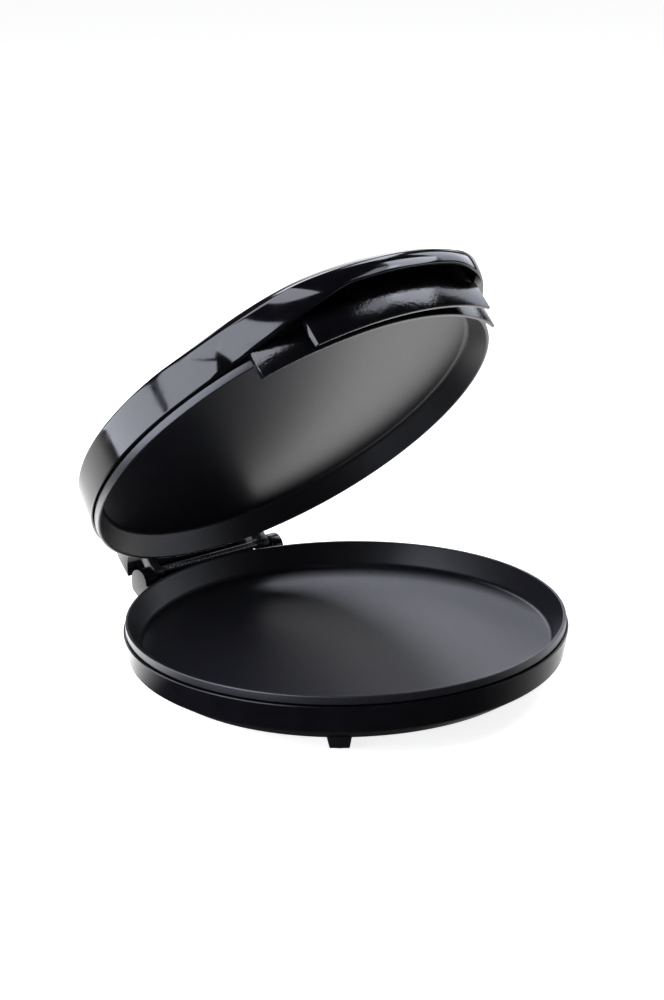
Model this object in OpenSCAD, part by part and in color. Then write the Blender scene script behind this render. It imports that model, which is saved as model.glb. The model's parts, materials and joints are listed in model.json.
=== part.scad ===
// Countertop pizza maker: two round cooking plates in black casings, joined by a
// pinned hinge at the back. The lid stands part way open.
// Z is up from the table, X is the hinge's direction and the handle is at -Y.

/* [Cooking plates] */
// Outside radius of each plate's rim
plate_r = 161; // [150:1:175]
// Height of the band outside the rim
rim_h = 6; // [5:0.5:7]
// Width of the rim's flat top
rim_w = 2.4; // [2:0.1:3.5]
// Depth of each plate inside
plate_depth = 17.5; // [15:0.5:19]
// How far the plate's wall leans in from the rim to the floor
wall_lean = 7.6; // [5:0.2:10]
// Thickness of each plate's floor and wall
plate_t = 3; // [2.5:0.1:3.4]
// Fillet between each plate's wall and floor
plate_fillet = 4; // [2:0.5:6]
// Gap left between the two rims when the lid is shut
rim_gap = 0.4; // [0.3:0.1:1]

/* [Base casing] */
// Height of the lower rim above the table
rim_z = 50; // [49:0.5:56]
// How far the casing's lip stands out past the rim
lip_out = 1.8; // [1.2:0.2:3]
// Shadow gap between the rim's band and the casing's lip
lip_gap = 1; // [0.6:0.1:1.5]
// Wall thickness of the plastic casings
wall = 2.2; // [1.8:0.1:2.6]
// How much the casing's wall draws in from the lip to the bevel
casing_draft = 2.8; // [1:0.2:5]
// Height of the bevel round the casing's bottom
bevel_h = 12; // [8:0.5:13]
// Width of the same bevel
bevel_w = 18; // [12:1:24]

/* [Feet] */
// Height of the feet
foot_h = 12; // [11:0.5:13]
// Width of a foot at its top
foot_top = 18; // [16:0.5:22]
// Width of a foot at its bottom
foot_bottom = 13.6; // [13:0.2:16]
// Distance of the feet from the middle, sideways
foot_x = 85; // [75:1:92]
// Distance of the feet from the middle, front to back
foot_y = 96; // [85:1:100]
// Thickness of the rubber pad under a foot
pad_t = 3; // [2:0.2:4]
// Diameter of the rubber pad
pad_d = 10; // [9.4:0.2:11]
// How far the pad stands out below the foot
pad_out = 0.8; // [0.4:0.1:1.2]

/* [Screws] */
// Diameter of the assembly screws
screw_d = 4; // [3:0.5:4.5]
// Diameter of their heads
head_d = 7.6; // [6.4:0.2:8]
// Height of their heads
head_h = 2.6; // [2:0.2:3]
// Radial clearance of a screw in its hole
screw_gap = 0.05; // [0.02:0.01:0.1]
// Wall of a screw boss round its hole
boss_wall = 4; // [3:0.5:5]

/* [Heating] */
// Radius of the heating elements' loops
element_r = 92; // [80:1:98]
// Diameter of the heating elements' tube
element_d = 6.4; // [5.4:0.2:6.8]
// Half the angle left open between the ends of a loop
element_open = 14; // [10:1:20]
// Thickness of the heat shields
shield_t = 1; // [0.8:0.1:1.4]
// Room between a plate's back and its heat shield
shield_room = 7.5; // [7.2:0.1:8]
// Width of the lower heat shield outside the bosses of the feet
shield_edge = 3.8; // [3:0.1:6]
// Length of an element clamp along the tube
clamp_l = 16; // [10:1:24]
// Width of an element clamp across the tube
clamp_w = 14; // [12:0.5:18]
// Diameter of the thermostat's body
thermostat_d = 16; // [13:0.5:20]

/* [Lid shell] */
// Gap between the upper plate's rim and the lid's lower edge
lid_gap = 2; // [1.6:0.2:5]
// Height of the lid's lower edge above the shut rims
lid_edge_z = 8; // [7:0.5:9]
// Height of the shoulder above the shut rims
shoulder_z = 39; // [37:0.5:44]
// Extra height of the crown over the shoulder
crown_h = 7; // [4:0.5:12]
// How far the wall leans in up to the shoulder
lid_lean = 2.5; // [1:0.5:4]
// Radius of the rounded shoulder
shoulder_round = 8; // [6:0.5:10]
// Height of the raised plateau over the handle
brow_h = 3; // [1:0.5:4]
// Thickness of the lid's shell
shell_t = 2.5; // [2:0.1:3]

/* [Handle] */
// How far the handle's lower lip reaches out past the lid
handle_out = 29.5; // [22:0.5:34]
// Half the angle that the handle holds its full reach
handle_half = 17; // [14:0.5:19]
// Height of the front lip over the lid's lower edge
handle_lift = 6.5; // [3:0.5:9]
// Height of the handle's waist over the lid's lower edge
dent_rise = 12; // [10:0.5:14]
// Depth of the handle's brim under the shoulder
brim_drop = 6; // [5:0.5:8]
// Depth of the handle's hollow roof under the brim
roof_drop = 3; // [2.6:0.2:4]
// Room for the fingers between the two skirts
finger_room = 11; // [9:0.5:12]
// Half the angle of the outer skirt
outer_skirt_half = 25.3; // [23:0.1:27]
// How far the outer skirt reaches below the shut rims
outer_skirt_drop = 13.7; // [8:0.1:16]
// Gap between the lid's edge and the inner skirt
skirt_gap = 1.5; // [1.3:0.1:2.4]
// Half the angle of the inner skirt
inner_skirt_half = 38.8; // [34:0.2:42]
// How far the inner skirt reaches below the shut rims
inner_skirt_drop = 11.6; // [7:0.1:14]
// Thickness of the skirts
skirt_t = 2.5; // [2:0.1:3]

/* [Hinge] */
// Distance of the pin behind the plates' rims
hinge_out = 8.3; // [8:0.1:10]
// How far the pin lies below the lower rim
hinge_drop = 2; // [1:0.1:3]
// Diameter of the hinge pin
pin_d = 3.5; // [3:0.1:4]
// Radial clearance of the arms and sleeves on the pin
pin_gap = 0.05; // [0.02:0.01:0.1]
// Distance from the middle to the inner face of an ear
ear_in = 57; // [52:0.5:62]
// Thickness of an ear
ear_t = 10; // [7:0.5:12]
// Height of an ear's gusset on the casing
gusset_h = 19; // [16:0.5:21]
// Radius of an ear's rounded top
ear_r = 10; // [8:0.5:10.5]
// Thickness of a lid arm
arm_t = 8; // [6:0.5:9]
// Radius of the eye of a lid arm
eye_r = 6.5; // [5.5:0.1:6.8]
// Side gap between an arm and its ear
arm_gap = 1; // [0.5:0.1:1.5]
// Outside diameter of the coil spring
spring_d = 5.4; // [5:0.1:5.8]
// Outside diameter of the plain sleeve
sleeve_d = 5; // [4.6:0.1:5.4]
// Thickness of a hinge washer
washer_t = 1; // [0.6:0.1:1.5]
// Depth of the lid's hinge block behind the pin
block_back = 20.7; // [18:0.1:23]
// Radius of the hollow under the hinge block, round the pin
block_hollow = 22.5; // [22:0.1:24]
// Angle that the lid stands open
lid_open = 45.65; // [20:0.05:80]

/* [Lamps] */
// Diameter of a signal lamp's lens
lens_d = 8; // [6:0.5:10]
// Distance between the two lenses
lens_pitch = 26; // [20:1:40]
// Distance of the lenses inside the lid's lower edge
lens_inset = 23; // [22:1:40]

/* [Hidden] */
$fn = 96;
tiny = 0.01;

// Plates
rim_in = plate_r - rim_w;
floor_r = rim_in - wall_lean;
floor_z = rim_z - plate_depth;
plate_back = floor_z - plate_t;

// Casing
lip_r = plate_r + lip_out;
lip_z = rim_z - rim_h - lip_gap;
waist_r = lip_r - casing_draft;
waist_z = foot_h + bevel_h;
sole_r = waist_r - bevel_w;
casing_floor = foot_h + wall;

// Stack of boss, shield and plate that each foot's screw draws together
shield_z = plate_back - shield_room;
boss_r = screw_d / 2 + boss_wall;
shield_r = norm([foot_x, foot_y]) + boss_r + shield_edge;
hole_r = screw_d / 2 + screw_gap;
loose_r = screw_d / 2 + 0.2;
head_seat = pad_t + 4;
screw_tip = plate_back - 0.5;
foot_places = [[-foot_x, -foot_y], [foot_x, -foot_y], [-foot_x, foot_y], [foot_x, foot_y]];

// Hinge
pin_y = plate_r + hinge_out;
pin_z = rim_z - hinge_drop;
pin_r = pin_d / 2;
turn_r = pin_r + pin_gap;
arm_out = ear_in - arm_gap;
arm_in = arm_out - arm_t;
ear_out = ear_in + ear_t;
bar_end = arm_in - washer_t;

// Lid, drawn shut with its rim at rim_z, then turned open about the pin
lid_r = plate_r + lid_gap;
lid_rim = rim_z + rim_gap;
upper_floor = rim_z + plate_depth;
upper_back = upper_floor + plate_t;
upper_shield_z = upper_back + shield_room;
upper_screw_tip = upper_back + 0.5;
edge_z = rim_z + lid_edge_z;
dent_z = edge_z + dent_rise;
top_z = rim_z + shoulder_z;
brim_z = top_z - brim_drop;
dome_r = lid_r - lid_lean - shoulder_round;
brow_centre = 1.35 * lid_r;
brow_turn = 49.6;
brow_foot = dome_r + 5;
brow_reach = norm([brow_foot * sin(brow_turn), brow_centre + brow_foot * cos(brow_turn)]);
brow_slope = 10;
inner_skirt_r = lid_r + skirt_gap;
outer_skirt_r = inner_skirt_r + skirt_t + finger_room;
lens_y = lens_inset - lid_r;
lamp_side = lens_d / 2 + 5;
lamp_half = lens_d / 2 + 3;

// The frame's origin lies under the middle of the whole part as the lid stands
block_top = top_z - 5;
rear_reach = pin_y + block_back * cos(lid_open) + (block_top - pin_z) * sin(lid_open);
centre_y = (rear_reach - lip_r) / 2;

ear_drop = 4.5;
ear_skin = 1.5;
ear_root_y = 130;
gusset_z = lip_z - gusset_h;
ledge_y = pin_y + 0.7;
bar_split = 2;
spring_wire = 0.9;
arm_mid = arm_out - arm_t / 2;
arm_front = 5.5;
arm_back = 3;
arm_screw_z = block_top - 7.5;
leg_top = block_top - wall - 0.3;

// Electrics
tip_l = 2.4;
elbow = 0.2;
tip_d = 2.4;
tab_x = 4;
fuse_d = 4;
fuse_l = 14;
fuse_x = -40;
wire_d = 2.2;
block_x = 40;
block_y = 104;
block_bore_z = 3.2;
end_x = element_r * sin(element_open);
end_y = element_r * cos(element_open);
clamp_angles = [-90, 30, 150];
cord_angle = 40;
cord_z = floor_z - 4;
cord_hole_r = 6;
cord_bore_r = 3.6;
cord_cut = 20;
pad_step = 1.2;

// Handle
lip_fade = 42;
waist_fade = 33;
brim_fade = 46;
roof_z = brim_z - roof_drop;
post_foot = edge_z + 2;
post_size = 4.2;
post_half = 13.5;
outer_turn = 5;
inner_turn = 10.4;
post_hole_r = 1.5 + screw_gap;
outer_post_r = outer_skirt_r - post_size + 0.7;
inner_post_r = inner_skirt_r + skirt_t + post_size - 0.7;
holder_top = upper_shield_z + shield_t + 5.6;
wire_z = upper_shield_z + shield_t + 1.3;

module at_base() {
    translate([0, -centre_y, 0]) children();
}

module at_lid() {
    at_base() translate([0, pin_y, pin_z]) rotate([-lid_open, 0, 0])
        translate([0, -pin_y, -pin_z]) children();
}

module across(x0, x1) {
    translate([x0, 0, 0]) rotate([90, 0, 90]) linear_extrude(x1 - x0) children();
}

module tube_x(x0, x1, outer, inner) {
    translate([x0, pin_y, pin_z]) rotate([0, 90, 0]) difference() {
        cylinder(r = outer, h = x1 - x0);
        translate([0, 0, -1]) cylinder(r = inner, h = x1 - x0 + 2);
    }
}

function unit(v) = v / norm(v);

// Round lead through points, none of its runs upright
module wire(points) {
    sides = 8;
    last = len(points) - 1;
    runs = [for (i = [0 : last - 1]) unit(points[i + 1] - points[i])];
    rings = [for (i = [0 : last])
        let (along = unit(runs[max(i - 1, 0)] + runs[min(i, last - 1)]),
             side = unit(cross(along, [0, 0, 1])),
             up = cross(side, along))
        for (k = [0 : sides - 1])
            points[i] + wire_d / 2 * (side * cos(360 * k / sides) + up * sin(360 * k / sides))];
    walls = [for (i = [0 : last - 1]) for (k = [0 : sides - 1]) let (m = (k + 1) % sides)
        [i * sides + k, i * sides + m, (i + 1) * sides + m, (i + 1) * sides + k]];
    ends = [[for (k = [sides - 1 : -1 : 0]) k], [for (k = [0 : sides - 1]) last * sides + k]];
    polyhedron(points = rings, faces = concat(walls, ends), convexity = 4);
}

function arc(c, r, a0, a1, n) =
    [for (i = [0 : n]) let (a = a0 + (a1 - a0) * i / n) c + r * [cos(a), sin(a)]];

// Half section of a plate, rim up: dish inside, band outside and bosses added below
module dish_section() {
    lean = atan2(plate_depth, wall_lean);
    turn = 90 - lean;
    tangent = plate_fillet * tan(lean / 2);
    fillet_c = [floor_r - tangent, plate_fillet];
    inside = concat([[0, 0]], arc(fillet_c, plate_fillet, -90, -turn, 5),
        [[rim_in - 0.3, plate_depth - 0.5], [rim_in + 0.4, plate_depth]]);
    outside = [[plate_r - 0.8, plate_depth], [plate_r, plate_depth - 0.8],
        [plate_r, plate_depth - rim_h], [rim_in - 0.6, plate_depth - rim_h],
        [floor_r + 1, 1 - plate_t], [floor_r, -plate_t], [0, -plate_t]];
    polygon(concat(inside, outside));
}

module at_bosses(z) {
    for (p = foot_places) translate([p[0], p[1], z]) children();
}

module plate_bosses(length) {
    at_bosses(0) difference() {
        cylinder(r = boss_r, h = length);
        translate([0, 0, -tiny]) cylinder(r = hole_r, h = length + tiny);
    }
}

function ease(t) = let (u = max(0, min(1, t))) u * u * (3 - 2 * u);
function fade(a, from, to) = 1 - ease((abs(a) - from) / (to - from));
function mix(a, b, t) = a + (b - a) * t;

// Reach of the handle past the lid's wall at its lip, its waist and its top edge
function lip_reach(a) = handle_out * fade(a, handle_half, lip_fade);
function waist_reach(a) = (handle_out - 2.3) * fade(a, handle_half, waist_fade);
function brim_reach(a) = (handle_out - 5.5) * fade(a, handle_half, brim_fade);
function lid_wall_r(z) = lid_r - lid_lean * (z - edge_z) / (shoulder_z - lid_edge_z - shoulder_round);
function lip_height(a) = edge_z + handle_lift * fade(a, 8, 26);
function side_r(a, z) = lid_wall_r(z) + (z < dent_z
    ? mix(lip_reach(a), waist_reach(a), ease((z - lip_height(a)) / (dent_z - lip_height(a))))
    : mix(waist_reach(a), brim_reach(a), ease((z - dent_z) / (brim_z - dent_z))));

// Height of the lid's top at a place, with the raised brow over the handle
function brow(p) = brow_h * ease((norm(p - [0, brow_centre]) - brow_reach) / brow_slope + 0.5);
function top_height(p) = top_z + crown_h * (1 - pow(norm(p) / dome_r, 2)) + brow(p);
function at(a, r) = [r * sin(a), -r * cos(a)];
function on_top(a, r, drop) = let (p = at(a, r)) [p[0], p[1], top_height(p) - drop];
function on_side(a, r, z) = let (p = at(a, r)) [p[0], p[1], z];

// One closed section of the shell, from beside the crown round the lip to the inside
function shell_section(a) =
    let (round_r = side_r(a, brim_z) - shoulder_round,
         round_z = on_top(a, round_r, 0)[2],
         lip = lip_height(a),
         lip_out_r = side_r(a, lip),
         hollow = fade(a, 14, 27),
         roof = roof_z,
         ledge = upper_shield_z + shield_t + 0.05,
         ledge_r = lid_wall_r(ledge) - shell_t,
         under_r = dome_r - 4)
    concat(
        [for (f = [0.2, 0.4, 0.6, 0.75, 0.87, 0.95, 1]) on_top(a, round_r * f, 0)],
        [for (t = [22.5 : 22.5 : 90])
            on_side(a, round_r + shoulder_round * sin(t), mix(brim_z, round_z, cos(t)))],
        [for (z = [brim_z - 4.5, brim_z - 9, dent_z]) on_side(a, side_r(a, z), z)],
        [for (f = [0.67, 0.33, 0]) let (z = mix(lip, dent_z, f)) on_side(a, side_r(a, z), z)],
        [on_side(a, lip_out_r - mix(0.6, shell_t, hollow), lip),
         on_side(a, mix(lip_out_r - 1.2, side_r(a, roof) - shell_t, hollow), mix(lip, roof, hollow)),
         on_side(a, mix(lid_r - 1.6, lid_wall_r(roof), hollow), mix(edge_z, roof, hollow)),
         on_side(a, mix(lid_r - 2, lid_r, hollow), edge_z),
         on_side(a, lid_r - shell_t, edge_z),
         on_side(a, ledge_r, ledge),
         on_side(a, ledge_r - 2.5, ledge),
         on_side(a, dome_r + 2, top_z - 4),
         on_top(a, under_r, shell_t)],
        [for (f = [0.88, 0.7, 0.5, 0.3, 0.15]) on_top(a, under_r * f, shell_t)]);

shell_angles = concat([for (i = [0 : 32]) -48 + 3 * i], [for (i = [1 : 47]) 48 + 5.5 * i]);

function signed(a) = a > 180 ? a - 360 : a;

module shell_body() {
    rings = [for (a = shell_angles) shell_section(signed(a))];
    n = len(rings);
    m = len(rings[0]);
    crown = [0, 0, top_height([0, 0])];
    points = concat([for (ring = rings) for (p = ring) p], [crown, crown - [0, 0, shell_t]]);
    sides = [for (i = [0 : n - 1]) for (j = [0 : m - 2])
        let (a = i * m + j, b = ((i + 1) % n) * m + j) each [[a, b, b + 1], [a, b + 1, a + 1]]];
    caps = [for (i = [0 : n - 1]) let (k = (i + 1) % n)
        each [[n * m, k * m, i * m], [n * m + 1, i * m + m - 1, k * m + m - 1]]];
    polyhedron(points = points, faces = concat(sides, caps), convexity = 6);
}

module casing_outside() {
    rotate_extrude($fn = 180) polygon([[0, foot_h], [sole_r - 1, foot_h], [sole_r + 1, foot_h + 0.6],
        [waist_r - 1.5, waist_z - 1.1], [waist_r, waist_z + 1.2],
        [lip_r, lip_z - 0.7], [lip_r - 0.6, lip_z], [0, lip_z]]);
}

module casing_inside() {
    slant = norm([bevel_w, bevel_h]) / bevel_h;
    floor_in = sole_r + bevel_w * wall / bevel_h - wall * slant;
    knee_r = waist_r - wall;
    knee_z = casing_floor + (knee_r - floor_in) * bevel_h / bevel_w;
    rotate_extrude($fn = 180) polygon([[0, casing_floor], [floor_in, casing_floor],
        [knee_r, knee_z], [lip_r - wall, lip_z], [lip_r - wall, lip_z + 1], [0, lip_z + 1]]);
}

// Side outline of an ear, drawn in Y and Z, with its gusset down to the casing
module ear_outline() {
    ear_z = pin_z - ear_drop;
    translate([pin_y, ear_z]) circle(r = ear_r);
    polygon([[ear_root_y, gusset_z], [pin_y - 6, gusset_z + 2], [pin_y + ear_r, lip_z - 7],
        [pin_y + ear_r, ear_z], [pin_y - ear_r, ear_z], [pin_y - ear_r, lip_z], [ear_root_y, lip_z]]);
}

module ledge_outline() {
    polygon([[ear_root_y, gusset_z], [pin_y - 6, gusset_z + 2], [ledge_y, lip_z - 9],
        [ledge_y, lip_z], [ear_root_y, lip_z]]);
}

// Turns local +Z to point out of the casing where the cord enters
module cord_way(from) {
    rotate([0, 0, -cord_angle]) translate([0, 0, cord_z]) rotate([-90, 0, 0])
        translate([0, 0, from]) children();
}

module lower_casing() {
    color("#17171a") at_base() difference() {
        union() {
            difference() {
                union() {
                    casing_outside();
                    cord_way(lip_r - 12) cylinder(r = cord_hole_r + 3.5, h = 12 + pad_step);
                }
                casing_inside();
            }
            at_bosses(foot_h + 0.5) cylinder(r = boss_r, h = shield_z - foot_h - 0.5);
        }
        at_bosses(foot_h - 1) cylinder(r = loose_r, h = shield_z - foot_h + 2);
        cord_way(lip_r - cord_cut) cylinder(r = cord_hole_r, h = 2 * cord_cut);
    }
}

// Two ears and the ledge between them, seated on the casing's back
module hinge_bracket() {
    color("#141417") at_base() difference() {
        union() {
            for (x = [-ear_out, ear_in]) across(x, x + ear_t) ear_outline();
            across(-ear_in - 1, ear_in + 1) ledge_outline();
        }
        casing_outside();
        translate([ear_skin - ear_out, pin_y, pin_z]) rotate([0, 90, 0])
            cylinder(r = pin_r, h = 2 * ear_out);
        for (s = [-1, 1]) translate([s * (ear_in + bar_end) / 2, pin_y, pin_z]) rotate([0, 90, 0])
            cylinder(r = eye_r + 0.7, h = ear_in - bar_end, center = true);
    }
}

module lower_plate() {
    color("#2b2b30") at_base() {
        translate([0, 0, floor_z]) rotate_extrude($fn = 180) dish_section();
        translate([0, 0, plate_back]) mirror([0, 0, 1]) plate_bosses(shield_room - shield_t);
    }
}

// Tubular loop under z = 0, with two cold ends that go down to -drop
module element(drop) {
    r = element_d / 2;
    translate([0, 0, -r]) {
        rotate([0, 0, 90 + element_open]) rotate_extrude(angle = 360 - 2 * element_open)
            translate([element_r, 0]) circle(r = r);
        for (s = [-1, 1]) rotate([0, 0, 90 + s * element_open]) translate([element_r, 0, 0]) {
            sphere(r = r + elbow);
            translate([0, 0, r - drop]) cylinder(r = r, h = drop - r);
            translate([0, 0, r - drop - tip_l]) cylinder(d = tip_d, h = tip_l + 0.5);
        }
    }
}

module element_clamps(height) {
    for (a = clamp_angles) rotate([0, 0, a]) translate([0, 0, -height]) difference() {
        translate([element_r - clamp_w / 2, -clamp_l / 2, 0]) cube([clamp_w, clamp_l, height]);
        translate([0, 0, height - element_d / 2]) rotate([0, 0, -15]) rotate_extrude(angle = 30)
            translate([element_r, 0]) circle(r = element_d / 2 + screw_gap);
    }
}

module shield_holes() {
    at_bosses(-1) cylinder(r = loose_r, h = 4);
    for (s = [-1, 1]) rotate([0, 0, 90 + s * element_open]) translate([element_r, 0, -1])
        cylinder(r = element_d / 2 + 1.5, h = 4);
}

module lower_element() {
    color("#8c8c90") at_base() translate([0, 0, plate_back]) element(shield_room + 2);
}

module lower_clamps() {
    color("#b0b0b4") at_base() translate([0, 0, plate_back]) element_clamps(shield_room - shield_t);
}

module lower_shield() {
    color("#c4c6c8") at_base() translate([0, 0, shield_z]) difference() {
        cylinder(r = shield_r, h = shield_t);
        shield_holes();
        translate([0, 0, -1]) cylinder(d = thermostat_d + 1, h = 4);
    }
}

module thermostat() {
    color("#d8d4c8") at_base() translate([0, 0, shield_z]) {
        translate([0, 0, -4]) cylinder(d = thermostat_d, h = shield_room + 4);
        translate([0, 0, -1.2]) cylinder(d = thermostat_d + 8, h = 1.2);
        for (x = [-tab_x, tab_x]) translate([x - 0.4, -3.1, -6.4]) cube([0.8, 6.2, 2.5]);
    }
}

module thermal_fuse() {
    color("#e6e2d8") at_base() translate([fuse_x, 0, shield_z - fuse_d / 2])
        rotate([0, 90, 0]) cylinder(d = fuse_d, h = fuse_l);
    color("#b0b0b4") at_base() translate([fuse_x + 4, 0, shield_z - fuse_d / 2]) difference() {
        translate([0, -fuse_d / 2 - 2, -fuse_d / 2 - 0.8]) cube([6, fuse_d + 4, fuse_d + 0.8]);
        translate([-1, 0, 0]) rotate([0, 90, 0]) cylinder(d = fuse_d, h = 8);
    }
}

module terminal_block() {
    color("#dcd8cc") at_base() translate([block_x, block_y, casing_floor]) difference() {
        translate([-17, -7, 0]) cube([34, 14, 6]);
        for (x = [-11, 0, 11]) translate([x, 8, block_bore_z]) rotate([90, 0, 0])
            cylinder(r = 1.5, h = 16);
    }
}

module base_wiring() {
    z = casing_floor + block_bore_z;
    tip_z = shield_z - 2 - tip_l - wire_d / 2;
    tab_z = shield_z - 5.2;
    fuse_z = shield_z - fuse_d / 2;
    entry = lip_r - 7.5;
    way = [sin(cord_angle), cos(cord_angle), 0];
    side = [cos(cord_angle), -sin(cord_angle), 0];
    color("#a03028") at_base() {
        wire([[block_x - 11, block_y - 7, z], [block_x - 11, block_y - 10, tip_z],
            [end_x, end_y, tip_z]]);
        wire([[block_x, block_y - 7, z], [block_x, 60, z], [14, 4, tab_z],
            [tab_x + 0.4 + wire_d / 2, 0, tab_z]]);
        wire([[-tab_x - 0.4 - wire_d / 2, 0, tab_z], [-14, 0, tab_z],
            [fuse_x + fuse_l + 4, 0, fuse_z], [fuse_x + fuse_l, 0, fuse_z]]);
        wire([[fuse_x, 0, fuse_z], [fuse_x - 3, 0, fuse_z], [fuse_x - 8, 8, fuse_z - 1],
            [-30, 80, tip_z], [-end_x, end_y, tip_z]]);
        for (i = [0, 1]) wire([(entry * way) + (2 * i - 1) * 1.4 * side + [0, 0, cord_z],
            ((entry - 7) * way) + (2 * i - 1) * 1.4 * side + [0, 0, shield_z],
            [block_x + 11 * (i - 1), block_y + 18 - 4 * i, z],
            [block_x + 11 * (i - 1), block_y + 7, z]]);
    }
}

module cord_bushing() {
    color("#101012") at_base() cord_way(lip_r - 6.5) difference() {
        union() {
            cylinder(r = cord_hole_r - screw_gap, h = 7 + pad_step);
            translate([0, 0, 6.5 + pad_step]) cylinder(r = cord_hole_r + 2.5, h = 2.5);
        }
        translate([0, 0, -1]) cylinder(r = cord_bore_r, h = 14 + pad_step);
    }
}

module foot(place) {
    levels = [[pad_out, foot_bottom - 2.4], [pad_out + 1.8, foot_bottom], [foot_h - 0.1, foot_top]];
    color("#0e0e10") at_base() translate([place[0], place[1], 0]) difference() {
        rotate([0, 0, atan2(place[1], place[0])]) hull() {
            for (level = levels) for (x = [-1, 1]) for (y = [-1, 1])
                translate([x * (level[1] / 2 - 2.5), y * (level[1] / 2 - 2.5), level[0]])
                    cylinder(r = 2.5, h = 0.1, $fn = 32);
        }
        translate([0, 0, -1]) cylinder(d = pad_d + 0.1, h = pad_t + 1);
        translate([0, 0, 0]) cylinder(d = head_d + 0.8, h = head_seat);
        cylinder(r = loose_r, h = foot_h + 1);
    }
}

module foot_front_left() { foot(foot_places[0]); }
module foot_front_right() { foot(foot_places[1]); }
module foot_rear_left() { foot(foot_places[2]); }
module foot_rear_right() { foot(foot_places[3]); }

module foot_pads() {
    color("#303032") at_base() at_bosses(0) cylinder(d = pad_d, h = pad_t);
}

module screw(d, head, head_height, length) {
    translate([0, 0, -head_height]) difference() {
        cylinder(d = head, h = head_height);
        translate([0, 0, -1]) cylinder(d = d * 0.7, h = 2, $fn = 6);
    }
    cylinder(d = d, h = length);
}

module foot_screws() {
    color("#9a9a9e") at_base() at_bosses(head_seat)
        screw(screw_d, head_d, head_h, screw_tip - head_seat);
}

module hinge_pin() {
    color("#3a3a3e") at_base() translate([ear_skin - ear_out, pin_y, pin_z]) rotate([0, 90, 0])
        cylinder(r = pin_r, h = 2 * ear_out - 2 * ear_skin);
}

module hinge_spring() {
    color("#2a2a2d") at_base() {
        tube_x(-bar_end + 0.2, bar_split - 0.2, spring_d / 2, turn_r);
        for (x = [-bar_end + 1.2, bar_split - 1.2]) translate([x, pin_y - spring_d / 2 + spring_wire / 2, lip_z])
            cylinder(d = spring_wire, h = pin_z - lip_z);
    }
}

module hinge_sleeve() {
    color("#1c1c1f") at_base() {
        tube_x(bar_split + 0.2, bar_end - 3, sleeve_d / 2, turn_r);
        tube_x(bar_end - 3.1, bar_end - 0.2, spring_d / 2 + 0.3, turn_r);
    }
}

module hinge_washers() {
    color("#55555a") at_base() for (x = [-bar_end - washer_t, bar_end])
        tube_x(x + 0.1, x + washer_t - 0.1, eye_r - 2, turn_r);
}

module block_outline(inset) {
    back = pin_y + block_back - inset;
    top = block_top - inset;
    corner = 8 - inset;
    difference() {
        polygon(concat([[ear_root_y - 10, edge_z + 1], [back, edge_z + 1]],
            arc([back - corner, top - corner], corner, 0, 90, 6), [[ear_root_y - 10, top]]));
        translate([pin_y, pin_z]) circle(r = block_hollow + inset);
    }
}

// Hollow block behind the lid that takes the two arms
module hinge_block() {
    half = ear_out;
    difference() {
        across(-half, half) block_outline(0);
        across(-half + wall, half - wall) block_outline(wall);
        translate([0, 0, edge_z - 5]) cylinder(r1 = lid_wall_r(edge_z - 5) - shell_t / 2,
            r2 = lid_wall_r(block_top + 5) - shell_t / 2, h = block_top - edge_z + 10, $fn = 180);
    }
    for (s = [-1, 1]) translate([s * arm_mid, pin_y + arm_back, arm_screw_z]) rotate([-90, 0, 0])
        cylinder(r = boss_r, h = block_back - arm_back - 0.5);
}

module lid_shell() {
    color("#0b0b0d") at_lid() difference() {
        union() {
            shell_body();
            hinge_block();
        }
        for (s = [-1, 1]) {
            translate([s * lens_pitch / 2, lens_y, top_z - 8]) cylinder(d = lens_d + 0.1, h = 30);
            translate([s * arm_mid - arm_t / 2 - 0.1, pin_y - arm_front - 0.2, pin_z + 15])
                cube([arm_t + 0.2, arm_front + arm_back + 0.2, leg_top - pin_z - 14.8]);
            translate([s * arm_mid, pin_y + arm_back - 1, arm_screw_z]) rotate([-90, 0, 0])
                cylinder(r = loose_r, h = block_back);
            translate([s * arm_mid, pin_y + block_back - head_h - 0.4, arm_screw_z])
                rotate([-90, 0, 0]) cylinder(d = head_d + 0.4, h = 10);
        }
        translate([0, lid_r - 20, wire_z]) rotate([-90, 0, 0]) cylinder(r = 3, h = 25);
        at_posts(roof_z - 1) cylinder(r = post_hole_r, h = 6);
    }
}

// Places of the skirts' screw posts, under the roof of the handle
module at_posts(z) {
    for (s = [-1, 1]) {
        rotate([0, 0, s * outer_turn]) translate([0, -outer_post_r, z]) children();
        rotate([0, 0, s * inner_turn]) translate([0, -inner_post_r, z]) children();
    }
}

module skirt_wall(r, half, low, high, inset) {
    rotate([0, 0, -90 - half]) rotate_extrude(angle = 2 * half, $fn = 180)
        polygon([[r + inset, low + 0.5], [r + 0.5, low], [r + skirt_t - 0.5, low],
            [r + skirt_t - inset, low + 0.5], [r + skirt_t - inset, high], [r + inset, high]]);
}

// Curved wall under the handle, with a narrower one above it that reaches into the hollow
module skirt(r, half, drop, turn, post_r) {
    skirt_wall(r, half, rim_z - drop, edge_z - 0.3, 0);
    skirt_wall(r, post_half, edge_z - 5, roof_z - 2, 0.2);
    for (s = [-1, 1]) rotate([0, 0, s * turn]) translate([0, -post_r, post_foot]) difference() {
        cylinder(r = post_size, h = roof_z - post_foot);
        translate([0, 0, -1]) cylinder(r = post_hole_r, h = roof_z);
    }
}

module outer_skirt() {
    color("#101012") at_lid()
        skirt(outer_skirt_r, outer_skirt_half, outer_skirt_drop, outer_turn, outer_post_r);
}

module inner_skirt() {
    color("#0c0c0e") at_lid()
        skirt(inner_skirt_r, inner_skirt_half, inner_skirt_drop, inner_turn, inner_post_r);
}

module upper_plate() {
    color("#3a3a40") at_lid() {
        translate([0, 0, upper_floor]) mirror([0, 0, 1]) rotate_extrude($fn = 180) dish_section();
        translate([0, 0, upper_back]) plate_bosses(shield_room);
    }
}

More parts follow.
